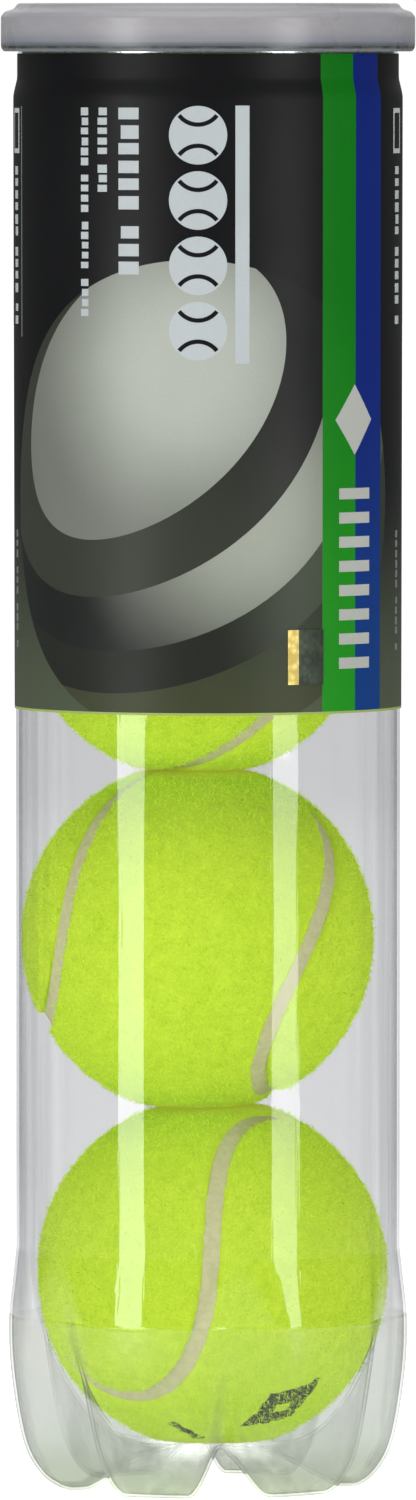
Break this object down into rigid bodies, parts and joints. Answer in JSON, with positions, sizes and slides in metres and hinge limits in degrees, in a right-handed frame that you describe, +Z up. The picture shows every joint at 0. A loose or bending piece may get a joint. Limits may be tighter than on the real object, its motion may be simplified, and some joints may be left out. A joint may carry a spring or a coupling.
{
  "type": "tennis ball can",
  "caption": "Tall clear plastic can with a lobed base, printed sleeve, pull-tab metal end and press-on cap, holding a stack of felt tennis balls that lift out.",
  "frame": {"origin": "centre of the base on the floor plane, where the feet rest", "axes": "+Z up along the can's axis, the sleeve's printed front faces -Y"},
  "size_m": [0.0792, 0.0792, 0.2846],
  "materials": {
    "pet": "clear, glossy, thin-walled",
    "printed_film": "satin printed film, charcoal with grey ball artwork and a green and a blue stripe",
    "foil_label": "foil label, gold with a dark iridescent part",
    "aluminium": "bright rolled sheet",
    "seam_compound": "soft sealing compound",
    "cap_plastic": "milky translucent soft plastic",
    "core_rubber": "dull moulded rubber",
    "felt": "woven wool and nylon felt, raised nap",
    "seam_rubber": "off-white seam rubber"
  },
  "bodies": {
    "can": {"can_body": "pet", "label_sleeve": "printed_film", "security_sticker": "foil_label", "end_ring": "aluminium", "seam_gasket": "seam_compound"},
    "panel": {"tear_panel": "aluminium", "tab_island": "aluminium"},
    "tab": {"pull_tab": "aluminium"},
    "cap": {"overcap": "cap_plastic"},
    "ball_1": {"ball_1_core_a": "core_rubber", "ball_1_core_b": "core_rubber", "ball_1_felt_a": "felt", "ball_1_felt_b": "felt", "ball_1_seam": "seam_rubber"},
    "ball_2": {"ball_2_core_a": "core_rubber", "ball_2_core_b": "core_rubber", "ball_2_felt_a": "felt", "ball_2_felt_b": "felt", "ball_2_seam": "seam_rubber"},
    "ball_3": {"ball_3_core_a": "core_rubber", "ball_3_core_b": "core_rubber", "ball_3_felt_a": "felt", "ball_3_felt_b": "felt", "ball_3_seam": "seam_rubber"},
    "ball_4": {"ball_4_core_a": "core_rubber", "ball_4_core_b": "core_rubber", "ball_4_felt_a": "felt", "ball_4_felt_b": "felt", "ball_4_seam": "seam_rubber"}
  },
  "joints": [
    {"name": "cap_lift", "type": "slide", "parent": "can", "child": "cap", "axis": [0, 0, 1], "range_m": [0, 0.375]},
    {"name": "panel_lift", "type": "slide", "parent": "can", "child": "panel", "axis": [0, 0, 1], "range_m": [0, 0.335]},
    {"name": "tab_lift", "type": "hinge", "parent": "panel", "child": "tab", "pos_m": [0, 0.0316, 0.2786], "axis": [-1, 0, 0], "range_deg": [0, 90]},
    {"name": "ball_4_out", "type": "slide", "parent": "can", "child": "ball_4", "axis": [-0.014, 0, 0.9999], "range_m": [0, 0.3151]},
    {"name": "ball_3_out", "type": "slide", "parent": "can", "child": "ball_3", "axis": [0.0233, 0, 0.9997], "range_m": [0, 0.3051]},
    {"name": "ball_2_out", "type": "slide", "parent": "can", "child": "ball_2", "axis": [0.0116, 0, 0.9999], "range_m": [0, 0.2951]},
    {"name": "ball_1_out", "type": "slide", "parent": "can", "child": "ball_1", "axis": [-0.0038, 0, 1], "range_m": [0, 0.2851]}
  ],
  "couplings": [
    {"joint": "panel_lift", "follows": "cap_lift", "ratio": 0.893},
    {"joint": "tab_lift", "follows": "cap_lift", "rad_per_m": 4.18},
    {"joint": "ball_4_out", "follows": "cap_lift", "ratio": 0.84},
    {"joint": "ball_3_out", "follows": "cap_lift", "ratio": 0.813},
    {"joint": "ball_2_out", "follows": "cap_lift", "ratio": 0.786},
    {"joint": "ball_1_out", "follows": "cap_lift", "ratio": 0.76}
  ]
}
